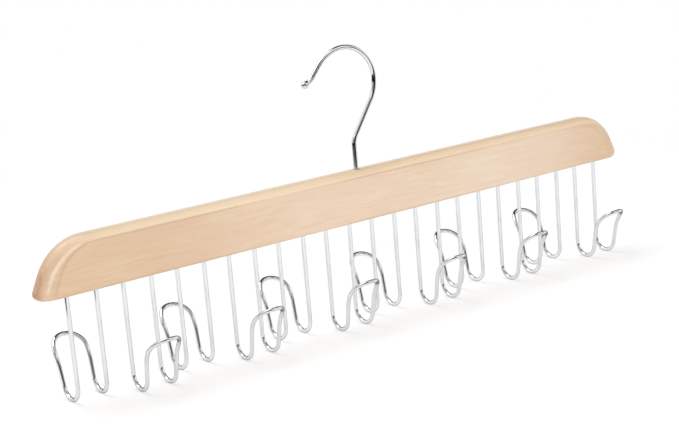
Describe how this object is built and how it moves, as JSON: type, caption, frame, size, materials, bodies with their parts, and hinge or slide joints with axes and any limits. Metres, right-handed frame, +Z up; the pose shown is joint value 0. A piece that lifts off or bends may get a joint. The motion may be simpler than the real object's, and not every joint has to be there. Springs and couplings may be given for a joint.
{
  "type": "belt hanger",
  "caption": "Wooden hanger bar with chromed wire belt hooks along its underside, facing front and back by turns, and a swivelling rod hook on top.",
  "frame": {"origin": "floor level under the middle of the bar, at the height of the belt hooks' lowest points", "axes": "+X along the bar to the right, +Z up along the swivel hook's shank, -Y the front; the rod hook opens toward -X at rest"},
  "size_m": [0.4, 0.056, 0.155],
  "materials": {
    "bar_wood": "pale fine-grained wood under clear satin lacquer",
    "wire_chrome": "bright chrome-plated round steel wire",
    "washer_steel": "zinc-plated flat washer"
  },
  "bodies": {
    "bar": {"wooden_bar": "bar_wood", "belt_hook_01": "wire_chrome", "belt_hook_02": "wire_chrome", "belt_hook_03": "wire_chrome", "belt_hook_04": "wire_chrome", "belt_hook_05": "wire_chrome", "belt_hook_06": "wire_chrome", "belt_hook_07": "wire_chrome", "belt_hook_08": "wire_chrome", "belt_hook_09": "wire_chrome", "belt_hook_10": "wire_chrome", "belt_hook_11": "wire_chrome", "belt_hook_12": "wire_chrome", "retaining_washer": "washer_steel"},
    "rod_hook": {"swivel_hook": "wire_chrome"}
  },
  "joints": [
    {"name": "hook_swivel", "type": "hinge", "parent": "bar", "child": "rod_hook", "pos_m": [0, 0, 0.086], "axis": [0, 0, 1], "continuous": true}
  ]
}
